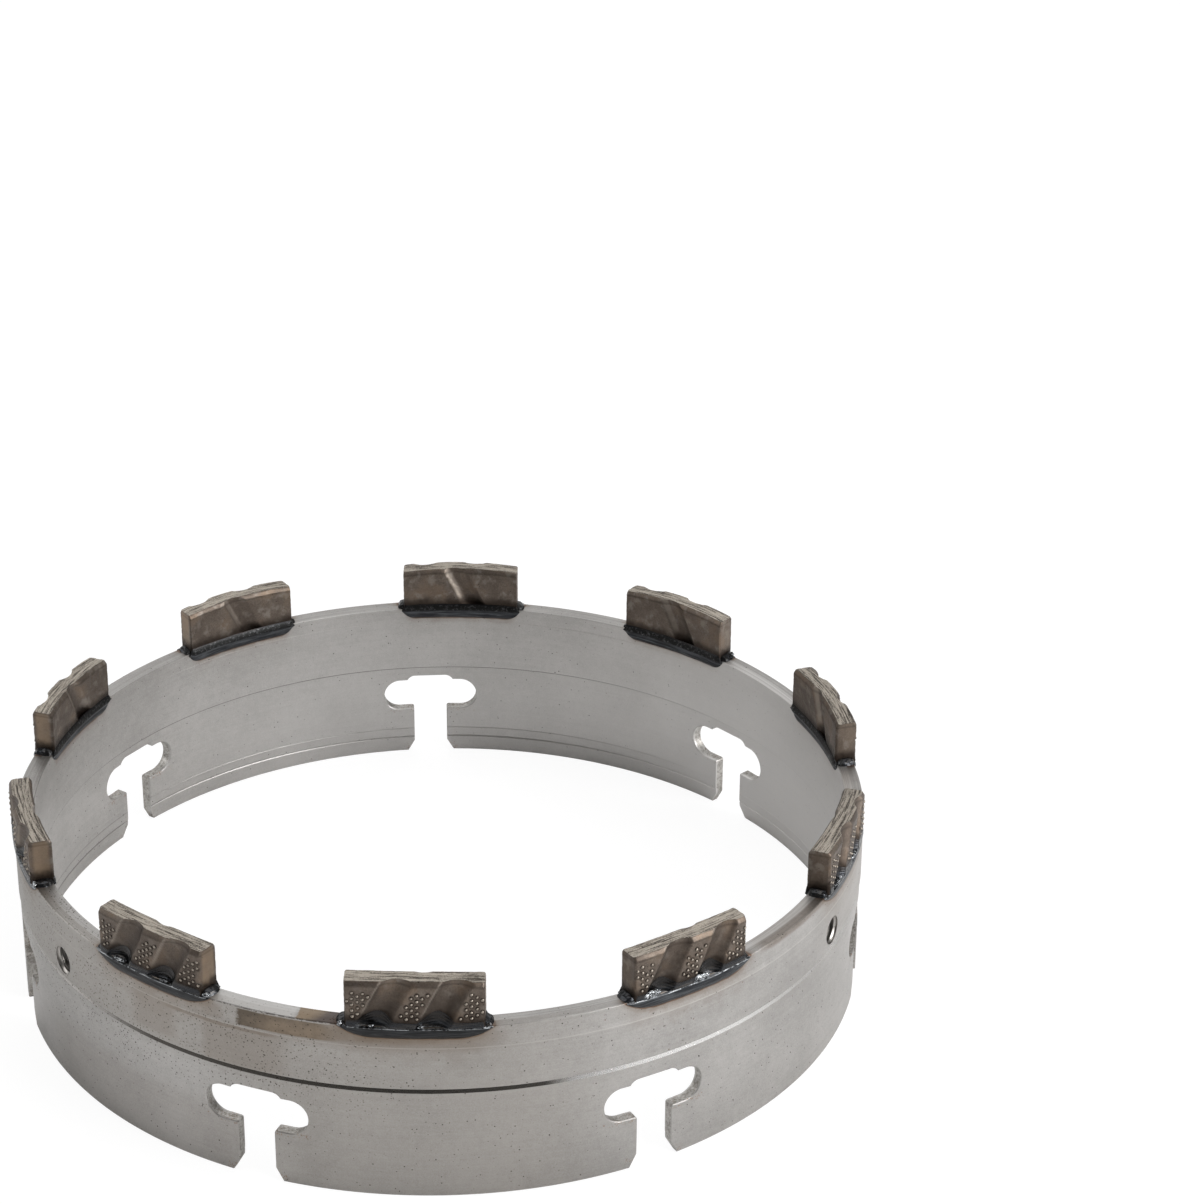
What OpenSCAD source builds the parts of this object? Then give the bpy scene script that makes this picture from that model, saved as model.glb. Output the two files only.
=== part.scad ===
// Core drill bit: an exchangeable cutting ring.
// A turned steel ring carries brazed diamond segments on its rim and has
// T-shaped bayonet slots at its foot, which lock it onto a drill barrel.
// Sizes are millimetres. The axis is Z, the foot stands on z = 0 and the
// segments point up.

/* [Ring] */
// Cutting diameter, measured over the segments
cut_d = 162; // [140:1:200]
// Height of the steel ring, foot to rim
ring_h = 35; // [33:0.5:45]
// Wall at the rim, which carries the segments
rim_wall = 3.5; // [3:0.1:5]
// Wall of the skirt, where the bayonet slots are
skirt_wall = 2.3; // [1.8:0.1:2.8]
// Height of the ledge inside, where the skirt ends and the wall thickens
ledge_z = 20.8; // [20:0.1:24]
// Drop in radius from the upper band down to the skirt
step_drop = 0.2; // [0.1:0.05:0.4]
// Height at which the skirt ends outside
step_z = 21.5; // [20:0.1:24]
// Height of the sloping step above the skirt
step_h = 1.05; // [0.5:0.05:1.5]
// Height of the narrow land under the rim
land_h = 4.2; // [2:0.1:6]
// Drop in radius from the upper band up to the land
land_drop = 0.1; // [0.05:0.05:0.2]
// Height of the sloping edge below the land
land_edge_h = 0.9; // [0.4:0.1:1.5]

/* [Socket] */
// Height of the lead-in bevel inside the foot
lead_h = 3.6; // [1:0.1:5]
// Width of the lead-in bevel at the foot
lead_w = 0.55; // [0.2:0.05:0.9]
// Height at which the socket starts to open towards the foot
entry_h = 5.8; // [5.2:0.1:8]
// Widening of the socket radius at the top of the bevel
entry_w = 0.2; // [0.05:0.05:0.4]

/* [Bayonet slots] */
// Number of slots round the skirt
slot_count = 7; // [3:1:9]
// Angle of the first slot
slot_first_angle = -114.3; // [-180:0.1:180]
// Width of the slot's neck
neck_w = 7; // [5:0.1:9]
// Width of the slot's head, end to end
head_w = 19.7; // [16:0.1:26]
// Height of the head's lower edge above the foot
head_z = 10.5; // [8:0.1:11]
// Height of the head's round ends
lobe_h = 6.9; // [5:0.1:7]
// Width of the relief above the head
relief_w = 10.2; // [8:0.1:12]
// Height of the relief above the head
relief_h = 1; // [0.5:0.1:1.5]
// Radius of the relief's shoulders
relief_r = 2; // [1.5:0.1:3]
// Extra width of the slot's mouth on each side
mouth_w = 1.4; // [0.5:0.1:2]
// Height of the slot's bevelled mouth
mouth_h = 2.6; // [1:0.1:4]

/* [Threaded holes] */
// Diameter over the thread
thread_d = 6; // [4:0.5:8]
// Distance of the holes below the rim
hole_drop = 9.1; // [8:0.1:10]
// Angle of the first hole
hole_first_angle = -148; // [-180:1:180]
// Angle from the first hole to the second
hole_gap_angle = 120; // [60:1:180]

/* [Segments] */
// Number of segments round the rim
seg_count = 10; // [6:1:14]
// Angle of the first segment
seg_first_angle = -93.6; // [-180:0.1:180]
// Length of a segment between its end faces
seg_len = 24; // [18:0.5:28]
// Height of a segment above the rim
seg_h = 9.4; // [7:0.1:12]
// How far a segment stands proud of the upper band outside
proud_out = 0.5; // [0.3:0.05:0.7]
// How far a segment stands proud of the wall inside
proud_in = 0.5; // [0.3:0.05:0.7]
// Width of the bevels along the top of a segment
bevel_w = 0.6; // [0.2:0.1:1]
// Height of the bevels along the top of a segment
bevel_h = 0.8; // [0.3:0.1:1.5]

/* [Flutes] */
// Radius of the round flutes
flute_r = 3.2; // [2.6:0.1:6]
// Depth of the flutes in the outer face
flute_depth = 1.6; // [0.6:0.1:2]
// Depth of the flute in the inner face
inner_depth = 0.9; // [0.5:0.1:1.2]
// Distance between the outer flutes, centre to centre
flute_pitch = 10.3; // [8:0.1:13]
// Shift of the inner flute along its segment
inner_shift = -0.9; // [-3:0.1:3]
// Lean of the flutes from upright
flute_lean = 26; // [0:1:35]

/* [Braze seams] */
// Depth of a seam below the rim at its middle
seam_drop = 2.2; // [1:0.1:2.5]
// Length of seam beyond each end of its segment
seam_end = 1.3; // [0.8:0.1:2]
// Radius of the seam's rounded ends outside
seam_round = 10; // [4:0.5:20]
// Height of seam against the end of its segment
seam_rise = 1; // [0.5:0.1:1.5]
// Thickness of a seam at its two tips
seam_tip = 0.3; // [0.2:0.05:0.5]
// Length of the inner bead beyond each end of its segment
bead_end = 0.4; // [0.2:0.1:0.8]
// Radius of the inner bead's rounded ends
bead_round = 3; // [2.5:0.5:8]
// Height of the inner bead against its segment, above the rim
bead_rise = 1.2; // [0.5:0.1:2]
// How far the inner bead stands proud of its segment
bead_proud = 0.3; // [0.1:0.05:0.5]

/* [Hidden] */
$fa = 2;
$fs = 0.3;
upper_r = cut_d / 2 - proud_out;
rim_r = upper_r - land_drop;
skirt_r = upper_r - step_drop;
rim_bore_r = upper_r - rim_wall;
socket_r = skirt_r - skirt_wall;
land_z = ring_h - land_h;
hole_z = ring_h - hole_drop;
lobe_r = lobe_h / 2;
slot_top = head_z + lobe_h + relief_h;
seg_out_r = cut_d / 2;
seg_in_r = rim_bore_r - proud_in;
seg_top = ring_h + seg_h;
seg_mid = ring_h + seg_h / 2;
seam_low = ring_h - seam_drop;
seam_half = seg_len / 2 + seam_end;
bead_half = seg_len / 2 + bead_end;
seam_foot_w = 0.08;
seam_belly_z = ring_h - seam_drop / 2;
seam_belly_w = 0.35;
over = 1;
reach = 20;
steel = "#a5a19c";
sintered = "#73695f";
filler = "#3c4146";

function two_digits(i) = str(i < 10 ? "0" : "", i);
function numbered(name) = [for (i = [1:seg_count]) str(name, two_digits(i))];
function seg_angle(i) = seg_first_angle + (i - 1) * 360 / seg_count;
function arc_deg(length, radius) = length / radius * 180 / PI;

// A flat outline drawn across (y) and up (z), pushed out along the radius (x)
module radial_bar(from, to) {
    translate([from, 0, 0])
        rotate([90, 0, 90])
            linear_extrude(to - from)
                children();
}

// One bayonet slot at angle 0, cut right through the skirt
module bayonet_slot() {
    from = socket_r - rim_wall;
    to = upper_r + over;
    lobe_y = head_w / 2 - lobe_r;
    relief_y = relief_w / 2 - relief_r;
    radial_bar(from, to)
        translate([-neck_w / 2, -over])
            square([neck_w, head_z + lobe_r + over]);
    radial_bar(from, to)
        polygon([
            [-neck_w / 2 - mouth_w, -over], [neck_w / 2 + mouth_w, -over],
            [neck_w / 2 + mouth_w, 0], [neck_w / 2, mouth_h],
            [-neck_w / 2, mouth_h], [-neck_w / 2 - mouth_w, 0],
        ]);
    radial_bar(from, to)
        translate([-lobe_y, head_z])
            square([2 * lobe_y, lobe_h]);
    for (side = [-1, 1])
        translate([from, side * lobe_y, head_z + lobe_r])
            rotate([0, 90, 0])
                cylinder(r = lobe_r, h = to - from);
    radial_bar(from, to)
        translate([-relief_y, head_z + lobe_r])
            square([2 * relief_y, slot_top - head_z - lobe_r]);
    for (side = [-1, 1])
        translate([from, side * relief_y, slot_top - relief_r])
            rotate([0, 90, 0])
                cylinder(r = relief_r, h = to - from);
}

// The turned ring in section: skirt, sloping step, upper band, land and rim
// outside, and lead-in, socket, ledge and rim bore inside
module ring_section() {
    polygon([
        [skirt_r, 0], [skirt_r, step_z],
        [upper_r, step_z + step_h], [upper_r, land_z],
        [rim_r, land_z + land_edge_h], [rim_r, ring_h],
        [rim_bore_r, ring_h], [rim_bore_r, ledge_z],
        [socket_r, ledge_z], [socket_r, entry_h],
        [socket_r + entry_w, lead_h], [socket_r + entry_w + lead_w, 0],
    ]);
}

module ring_body() {
    color(steel)
        difference() {
            rotate_extrude()
                ring_section();
            for (i = [0:slot_count - 1])
                rotate([0, 0, slot_first_angle + i * 360 / slot_count])
                    bayonet_slot();
            for (i = [0:1])
                rotate([0, 0, hole_first_angle + i * hole_gap_angle])
                    translate([rim_bore_r - over, 0, hole_z])
                        rotate([0, 90, 0])
                            cylinder(d = thread_d, h = rim_wall + 2 * over);
        }
}

// One leaning round cutter, which passes the point at this radius and distance
// along the segment
module flute_cutter(radius, along, at_r) {
    rotate([0, 0, arc_deg(along, at_r)])
        translate([radius, 0, seg_mid])
            rotate([-flute_lean, 0, 0])
                cylinder(r = flute_r, h = seg_h + reach, center = true);
}

module segment_section() {
    polygon([
        [seg_in_r, ring_h], [seg_out_r, ring_h],
        [seg_out_r, seg_top - bevel_h], [seg_out_r - bevel_w, seg_top],
        [seg_in_r + bevel_w, seg_top], [seg_in_r, seg_top - bevel_h],
    ]);
}

// The space between a segment's parallel end faces
module segment_slice(length, low, high) {
    translate([seg_in_r - over, -length / 2, low])
        cube([seg_out_r - seg_in_r + 2 * over, length, high - low]);
}

module segment(i) {
    color(sintered)
        rotate([0, 0, seg_angle(i)])
            difference() {
                intersection() {
                    rotate_extrude()
                        segment_section();
                    segment_slice(seg_len, ring_h - over, seg_top + over);
                }
                for (side = [-1, 1])
                    flute_cutter(seg_out_r + flute_r - flute_depth, side * flute_pitch / 2, seg_out_r);
                flute_cutter(seg_in_r - flute_r + inner_depth, inner_shift, seg_in_r);
            }
}

// The fillet of a seam outside the wall, in section, from the rim down
module outer_fillet() {
    polygon([
        [rim_r, ring_h], [seg_out_r, ring_h],
        [rim_r + seam_belly_w, seam_belly_z],
        [rim_r + seam_foot_w, seam_low - over], [rim_r, seam_low - over],
    ]);
}

// The bead inside the wall, in section: it climbs from the wall up the segment
module inner_bead() {
    polygon([
        [rim_bore_r, seam_low - over], [rim_bore_r, ring_h],
        [seg_in_r, ring_h], [seg_in_r, ring_h + bead_rise],
        [seg_in_r - bead_proud, ring_h + bead_rise / 3],
        [seg_in_r - bead_proud, ring_h - bead_rise / 3],
        [rim_bore_r - seam_belly_w, seam_belly_z],
        [rim_bore_r - seam_foot_w, seam_low - over],
    ]);
}

// The outline of a seam, across and up: flat below, with round ends that rise to its tips
module seam_outline(half, end_r, top) {
    sag = seam_drop - seam_tip;
    flat = half - sqrt(2 * end_r * sag - sag * sag);
    radial_bar(seg_in_r - reach, seg_out_r + over)
        intersection() {
            translate([-half, seam_low])
                square([2 * half, top - seam_low]);
            union() {
                translate([-flat, seam_low])
                    square([2 * flat, top - seam_low]);
                for (side = [-1, 1])
                    translate([side * flat, seam_low + end_r])
                        circle(r = end_r);
            }
        }
}

// The wedge of filler on the rim, against both ends of a segment
module end_wedge() {
    polygon([
        [seg_len / 2, ring_h], [seam_half, ring_h],
        [seam_half, ring_h + seam_tip], [seg_len / 2, ring_h + seam_rise],
    ]);
}

module braze_seam(i) {
    // A seam is thin, so its curves are drawn fine
    $fn = 360;
    color(filler)
        rotate([0, 0, seg_angle(i)]) {
            intersection() {
                rotate_extrude()
                    outer_fillet();
                seam_outline(seam_half, seam_round, ring_h);
            }
            intersection() {
                rotate_extrude()
                    inner_bead();
                seam_outline(bead_half, bead_round, ring_h + bead_rise);
            }
            for (side = [0, 1])
                mirror([0, side, 0])
                    intersection() {
                        difference() {
                            cylinder(r = seg_out_r, h = seg_top);
                            translate([0, 0, -over])
                                cylinder(r = seg_in_r, h = seg_top + 2 * over);
                        }
                        radial_bar(seg_in_r - reach, seg_out_r + over)
                            end_wedge();
                    }
        }
}

ring_body();
for (i = [1:seg_count])
    segment(i);
for (i = [1:seg_count])
    braze_seam(i);
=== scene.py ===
"""Core drill bit ring: a turned steel ring with brazed diamond segments on its rim
and bayonet slots at its foot.

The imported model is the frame. Each piece of it is replaced here by a finer one of
the same form, with the marks that turning, brazing and use leave on it.
Lengths are metres in the scene and in the groups of sizes. Pieces are shaped in
millimetres, and their points are scaled by MM at the end.
"""

import math
import random

import bpy
import numpy as np
from mathutils import Matrix, Vector, noise


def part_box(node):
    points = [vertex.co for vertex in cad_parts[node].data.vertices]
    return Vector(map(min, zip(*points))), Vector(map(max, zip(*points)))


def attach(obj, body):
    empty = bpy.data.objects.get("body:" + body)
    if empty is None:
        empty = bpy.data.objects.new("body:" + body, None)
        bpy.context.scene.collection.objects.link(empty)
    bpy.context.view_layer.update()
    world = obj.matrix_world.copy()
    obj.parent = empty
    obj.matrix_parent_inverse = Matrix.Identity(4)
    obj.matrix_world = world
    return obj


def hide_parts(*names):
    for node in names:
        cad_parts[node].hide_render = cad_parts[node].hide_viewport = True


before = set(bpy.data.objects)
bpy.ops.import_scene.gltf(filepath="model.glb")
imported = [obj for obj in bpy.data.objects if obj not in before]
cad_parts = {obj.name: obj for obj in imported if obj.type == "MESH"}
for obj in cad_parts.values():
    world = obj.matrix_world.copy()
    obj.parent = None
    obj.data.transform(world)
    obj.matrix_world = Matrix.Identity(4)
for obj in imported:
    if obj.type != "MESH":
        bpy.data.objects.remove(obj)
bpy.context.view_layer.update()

bl_info = {
    "name": "Core drill bit ring",
    "version": (1, 0, 0),
    "blender": (4, 5, 0),
    "location": "3D View > Sidebar > Drill ring",
    "description": "Builds a diamond cutting ring for core drilling",
    "category": "Object",
}

MM = 0.001
SEGMENTS = sorted(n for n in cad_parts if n.startswith("segment"))
SEAMS = sorted(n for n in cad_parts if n.startswith("braze"))
RING_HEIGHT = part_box("ring_body")[1].z
SEGMENT_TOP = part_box(SEGMENTS[0])[1].z

# The ring's section: radii of rim and bore, then heights from the foot up, in millimetres
RIM_MM = 80.4
BORE_MM = 77.0
LEAD_MM = 3.6
ENTRY_MM = 5.8
LEDGE_MM = 20.8
STEP_MM = 21.5
BAND_MM = 22.6
LAND_MM = 30.8
LAND_EDGE_MM = 31.7

# How far a seam still reaches below the rim at its tips, in millimetres
TIP_MM = 0.3

# Angles of the threaded holes, in degrees
HOLES = {"thread_left": -148, "thread_right": -28}


# Sizes and colours


def length(name, default_mm, description):
    return bpy.props.FloatProperty(
        name=name, description=description, default=default_mm * MM, unit="LENGTH", precision=5
    )


def degrees(name, default, description):
    return bpy.props.FloatProperty(
        name=name, description=description, default=math.radians(default), unit="ROTATION"
    )


def colour(name, default, description):
    return bpy.props.FloatVectorProperty(
        name=name, description=description, default=default, size=3, subtype="COLOR", min=0, max=1
    )


def amount(name, default, description):
    return bpy.props.FloatProperty(name=name, description=description, default=default, min=0, max=4)


class RingSizes(bpy.types.PropertyGroup):
    """Sizes of the turned ring"""

    height: length("Height", RING_HEIGHT / MM, "Foot to rim")
    skirt: length("Skirt radius", 80.3, "Outer radius where the slots are")
    band: length("Band radius", 80.5, "Outer radius of the upper band")
    rim: length("Rim radius", RIM_MM, "Outer radius of the land under the rim")
    bore: length("Bore radius", BORE_MM, "Inner radius under the rim")
    socket: length("Socket radius", 78.0, "Inner radius of the skirt")
    edge: length("Edge break", 0.14, "Width of the small bevel on cut edges")
    first_slot: degrees("First slot", -114.3, "Angle of the first bayonet slot")
    slots: bpy.props.IntProperty(name="Slots", description="Number of bayonet slots", default=7, min=3, max=9)
    neck: length("Slot neck", 7.0, "Width of a slot's neck")
    head: length("Slot head", 19.7, "Width of a slot's head")
    head_foot: length("Head height", 10.5, "Height of the head's lower edge")
    lobe: length("Lobe height", 6.9, "Height of the head's round ends")
    hole: length("Thread radius", 3.0, "Radius of the threaded holes")
    hole_height: length("Hole height", 25.9, "Height of the threaded holes")


class SegmentSizes(bpy.types.PropertyGroup):
    """Sizes of the diamond segments and their braze"""

    first: degrees("First segment", -93.6, "Angle of the first segment")
    outer: length("Cutting radius", 81.0, "Outer radius of the segments")
    inner: length("Inner radius", 76.5, "Inner radius of the segments")
    length: length("Length", 24.0, "Between the end faces")
    height: length("Height", (SEGMENT_TOP - RING_HEIGHT) / MM, "Above the rim")
    flute_radius: length("Flute radius", 3.2, "Radius of the round flutes")
    flute_depth: length("Flute depth", 1.6, "Depth of the outer flutes")
    inner_depth: length("Inner flute depth", 0.95, "Depth of the flute inside")
    flute_pitch: length("Flute pitch", 10.3, "Between the outer flutes")
    inner_shift: length("Inner flute shift", -0.9, "Of the inner flute along the segment")
    lean: degrees("Flute lean", 26.0, "Lean of the flutes from upright")
    bevel_width: length("Bevel width", 0.55, "Width of the bevels along the top")
    bevel_height: length("Bevel height", 0.9, "Height of the bevels along the top")
    crown: length("Crown", 0.5, "How much lower the top is at the ends")
    grain: length("Grain radius", 0.29, "Radius of the raised grains")
    grain_height: length("Grain height", 0.2, "How far the grains stand out")
    grain_pitch: length("Grain pitch", 1.19, "Between the grains of a column")
    grain_column: length("Grain columns", 0.92, "Between the columns of grains")
    seam_drop: length("Seam drop", 2.2, "Depth of the braze below the rim")
    seam_end: length("Seam end", 1.3, "Length of braze beyond each end")
    seam_round: length("Seam ends", 10.0, "Radius of the seam's round ends outside")
    bead_end: length("Bead end", 0.4, "Length of the inner bead beyond each end")
    bead_round: length("Bead ends", 3.0, "Radius of the inner bead's round ends")
    bead_rise: length("Bead rise", 1.2, "Height of the braze up the segment")
    climb: length("Braze climb", 1.6, "How much higher the braze climbs in the flutes")


class RingColours(bpy.types.PropertyGroup):
    """Colours of the ring"""

    steel: colour("Steel", (0.50, 0.485, 0.47), "Turned steel")
    steel_dark: colour("Steel, dull", (0.35, 0.338, 0.325), "Duller patches of the steel")
    tint: colour("Heat tint", (0.17, 0.105, 0.055), "Brown left by the torch")
    rust: colour("Rust", (0.30, 0.13, 0.035), "Granular rust in the slots")
    sintered: colour("Segment", (0.105, 0.083, 0.068), "Sintered metal on the sides")
    ground: colour("Segment top", (0.50, 0.45, 0.385), "Sintered metal where it is ground")
    braze: colour("Braze", (0.022, 0.024, 0.028), "Dark, glassy braze")
    flash_and_highlight: colour("Braze flash", (0.5, 0.52, 0.54), "Bright silvery braze")


class StageLook(bpy.types.PropertyGroup):
    """Camera and light"""

    distance: length("Camera distance", 659.16, "From the centre of the foot")
    elevation: degrees("Camera height", 32.62, "Above the floor")
    yaw: degrees("Camera yaw", -2.611, "Turned to the side")
    pitch: degrees("Camera pitch", 5.805, "Turned up")
    roll: degrees("Camera roll", 1.157, "Turned about the line of sight")
    lens: amount("Lens", 3352.36 / 1180, "Focal length in picture widths")
    key: amount("Key light", 1.0, "Strength of the large lamp")


# Modelling helpers


def deselect():
    if bpy.context.object and bpy.context.object.mode != "OBJECT":
        bpy.ops.object.mode_set(mode="OBJECT")
    bpy.ops.object.select_all(action="DESELECT")


def added(name):
    piece = bpy.context.object
    piece.name = piece.data.name = name
    return piece


def only(piece):
    deselect()
    piece.select_set(True)
    bpy.context.view_layer.objects.active = piece
    return piece


def points(piece):
    flat = np.empty(len(piece.data.vertices) * 3, np.float32)
    piece.data.vertices.foreach_get("co", flat)
    return flat.reshape(-1, 3).astype(float)


def move_points(piece, places):
    piece.data.vertices.foreach_set("co", np.asarray(places, np.float32).ravel())
    piece.data.update()


def pick_edges(piece, test):
    """Selects the edges whose two ends pass the test, in edit mode."""
    only(piece)
    bpy.ops.object.mode_set(mode="EDIT")
    bpy.ops.mesh.select_mode(type="EDGE")
    bpy.ops.mesh.select_all(action="DESELECT")
    bpy.ops.object.mode_set(mode="OBJECT")
    co = points(piece)
    for edge in piece.data.edges:
        edge.select = bool(test(*co[list(edge.vertices)]))
    bpy.ops.object.mode_set(mode="EDIT")


def split_along(piece, axis, cuts):
    """Divides every edge that runs along an axis."""
    pick_edges(piece, lambda a, b: abs(a[axis] - b[axis]) > 0.9 * np.linalg.norm(a - b))
    bpy.ops.mesh.subdivide(number_cuts=cuts)
    bpy.ops.object.mode_set(mode="OBJECT")


def apply_modifier(piece, kind, **settings):
    only(piece)
    made = piece.modifiers.new(kind.title(), kind)
    for key, value in settings.items():
        setattr(made, key, value)
    bpy.ops.object.modifier_apply(modifier=made.name)


def edit_all(piece):
    """Enters edit mode with the whole piece selected."""
    only(piece)
    bpy.ops.object.mode_set(mode="EDIT")
    bpy.ops.mesh.select_all(action="SELECT")


def tidy(piece, merge=1e-6):
    edit_all(piece)
    bpy.ops.mesh.remove_doubles(threshold=merge)
    bpy.ops.mesh.normals_make_consistent(inside=False)
    bpy.ops.object.mode_set(mode="OBJECT")


def smooth(piece, angle):
    only(piece)
    bpy.ops.object.shade_smooth_by_angle(angle=math.radians(angle))


def join(pieces, name):
    deselect()
    for piece in pieces:
        piece.select_set(True)
    bpy.context.view_layer.objects.active = pieces[0]
    bpy.ops.object.join()
    return added(name)


def turn(places, angle):
    c, s = math.cos(angle), math.sin(angle)
    x, y, z = np.asarray(places, float).T
    return np.stack([c * x - s * y, s * x + c * y, z], axis=1)


def ease(value, low, high):
    t = np.clip((np.asarray(value, float) - low) / (high - low), 0, 1)
    return t * t * (3 - 2 * t)


def rough(places_mm, scale, seed):
    """Smooth noise from about -1 to 1 at each place."""
    places = [Vector((x / scale + seed, y / scale, z / scale)) for x, y, z in places_mm]
    return np.array([noise.noise(place) for place in places])


# Materials


class Value:
    """A socket whose value varies over a surface; arithmetic on it adds Math nodes."""

    def __init__(self, finish, socket):
        self.finish, self.socket = finish, socket

    def math(self, operation, *others, clamp=False):
        inputs = dict(enumerate((self, *others)))
        return self.finish.add("ShaderNodeMath", {"operation": operation, "use_clamp": clamp}, inputs)

    def __add__(self, other):
        return self.math("ADD", other)

    def __radd__(self, other):
        return self.math("ADD", other)

    def __sub__(self, other):
        return self.math("SUBTRACT", other)

    def __rsub__(self, other):
        return self.finish.add("ShaderNodeMath", {"operation": "SUBTRACT"}, {0: other, 1: self})

    def __mul__(self, other):
        return self.math("MULTIPLY", other)

    def __rmul__(self, other):
        return self.math("MULTIPLY", other)

    def __pow__(self, other):
        return self.math("POWER", other)

    def __abs__(self):
        return self.math("ABSOLUTE")

    def least(self, other):
        return self.math("MINIMUM", other)

    def most(self, other):
        return self.math("MAXIMUM", other)

    def clamp(self):
        return self.math("ADD", 0.0, clamp=True)

    def step(self, low, high):
        """0 below low, 1 above high, eased between. low may be the larger."""
        settings = {"interpolation_type": "SMOOTHSTEP"}
        if low < high:
            return self.finish.add("ShaderNodeMapRange", settings, {0: self, 1: low, 2: high, 3: 0.0, 4: 1.0})
        return self.finish.add("ShaderNodeMapRange", settings, {0: self, 1: high, 2: low, 3: 1.0, 4: 0.0})

    def band(self, low, high, soft):
        return self.step(low - soft, low + soft) * self.step(high + soft, high - soft)


class Nodes:
    """A node tree; every node comes from its one add method."""

    def __init__(self, tree):
        self.tree = tree

    def add(self, kind, settings=None, inputs=None, output=0):
        """Adds a node: its settings first, then the values or links of its sockets."""
        node = self.tree.nodes.new(kind)
        for key, value in (settings or {}).items():
            setattr(node, key, value)
        for key, value in (inputs or {}).items():
            self.feed(node.inputs[key], value)
        return node if output is None else Value(self, node.outputs[output])

    def feed(self, socket, value):
        if isinstance(value, Value):
            self.tree.links.new(value.socket, socket)
        elif hasattr(value, "__len__") and socket.type == "RGBA" and len(value) == 3:
            socket.default_value = (*value, 1)
        else:
            socket.default_value = value


class Finish(Nodes):
    """A material under construction, with the ring's own coordinates in millimetres."""

    def __init__(self, name, roughness=0.5, metallic=0.0, **constants):
        self.material = bpy.data.materials.new(name)
        self.material.use_nodes = True
        super().__init__(self.material.node_tree)
        self.shader = self.tree.nodes["Principled BSDF"]
        self.shader.inputs["Roughness"].default_value = roughness
        self.shader.inputs["Metallic"].default_value = metallic
        for key, value in constants.items():
            self.shader.inputs[key.replace("_", " ")].default_value = value
        place = self.add("ShaderNodeTexCoord", output="Object")
        self.place = self.add("ShaderNodeVectorMath", {"operation": "SCALE"}, {0: place, "Scale": 1 / MM})
        split = self.add("ShaderNodeSeparateXYZ", {}, {0: self.place}, output=None)
        self.x, self.y, self.z = (Value(self, split.outputs[i]) for i in range(3))
        self.radius = (self.x * self.x + self.y * self.y) ** 0.5
        self.angle = self.y.math("ARCTAN2", self.x) * (180 / math.pi)

    def mix(self, low, high, share):
        """A colour from low to high."""
        settings = {"data_type": "RGBA", "clamp_factor": True}
        return self.add("ShaderNodeMix", settings, {0: share, 6: low, 7: high}, output=2)

    def vector(self, x, y, z):
        return self.add("ShaderNodeCombineXYZ", {}, {0: x, 1: y, 2: z})

    def noise(self, scale, detail=3.0, place=None, distortion=0.0, rough=0.5):
        """Cloudy noise, about 0 to 1; scale is in turns per millimetre."""
        inputs = {
            "Vector": place or self.place, "Scale": scale, "Detail": detail,
            "Roughness": rough, "Distortion": distortion,
        }
        return self.add("ShaderNodeTexNoise", {}, inputs)

    def cells(self, scale):
        """Distance to the nearest of scattered points; scale is in points per millimetre."""
        inputs = {"Vector": self.place, "Scale": scale}
        return self.add("ShaderNodeTexVoronoi", {}, inputs, output="Distance")

    def layer(self, name):
        """A value that the mesh carries at its points."""
        return self.add("ShaderNodeAttribute", {"attribute_name": name}, output="Fac")

    def from_nearest(self, first, count):
        """Arc to the nearest of some places, evenly spaced round the ring."""
        pitch = 360 / count
        turned = (self.angle - math.degrees(first) + pitch / 2 + 720).math("MODULO", pitch)
        return arc_of(abs(turned - pitch / 2))

    def coat(self, shade, share):
        """Lays a colour over the base colour that is there so far."""
        self.base = self.mix(self.base, shade, share)

    def bump(self, height, strength, depth_mm, below=None):
        inputs = {"Strength": strength, "Distance": depth_mm * MM, "Height": height}
        if below is not None:
            inputs["Normal"] = below
        return self.add("ShaderNodeBump", {}, inputs)

    def finish(self, **outputs):
        for key, value in outputs.items():
            self.feed(self.shader.inputs[key.replace("_", " ")], value)
        return self.material


def arc_of(angle, radius=80):
    """Length of arc of an angle in degrees, at a radius in millimetres."""
    return angle * (radius * math.pi / 180)


# Colours of the marks on steel
STEEL_MARKS = {
    "seam edge": (0.13, 0.065, 0.035), "deep stain": (0.05, 0.034, 0.022),
    "patch": (0.24, 0.178, 0.122), "deep patch": (0.065, 0.044, 0.027),
    "pit": (0.03, 0.024, 0.018), "dust": (0.06, 0.05, 0.04), "red speck": (0.14, 0.06, 0.035),
    "bare_and_highlight": (0.62, 0.6, 0.57), "painted line shade": (0.05, 0.045, 0.04), "painted outside shade": (0.235, 0.205, 0.17),
    "painted_light_inside": (0.68, 0.665, 0.65), "cut": (0.16, 0.145, 0.12), "oiled step": (0.04, 0.036, 0.03),
    "wiped step": (0.62, 0.61, 0.6), "rim line": (0.16, 0.15, 0.14), "worn rim": (0.66, 0.65, 0.635),
    "gold": (0.25, 0.18, 0.11), "scorch": (0.06, 0.04, 0.034), "burr": (0.06, 0.05, 0.042),
}

# Colours of the sintered metal, its pits and its grains
METAL_MARKS = {
    "pale": (0.215, 0.18, 0.15), "brown": (0.16, 0.095, 0.05), "rubbed": (0.27, 0.24, 0.21),
    "end": (0.29, 0.215, 0.15), "bare_and_highlight": (0.40, 0.35, 0.30), "dirt_and_painted_shade": (0.022, 0.015, 0.011),
    "groove": (0.07, 0.057, 0.046), "pit": (0.02, 0.016, 0.012),
    "grain foot shade": (0.05, 0.04, 0.033), "grain tip": (0.44, 0.385, 0.325),
}

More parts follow.
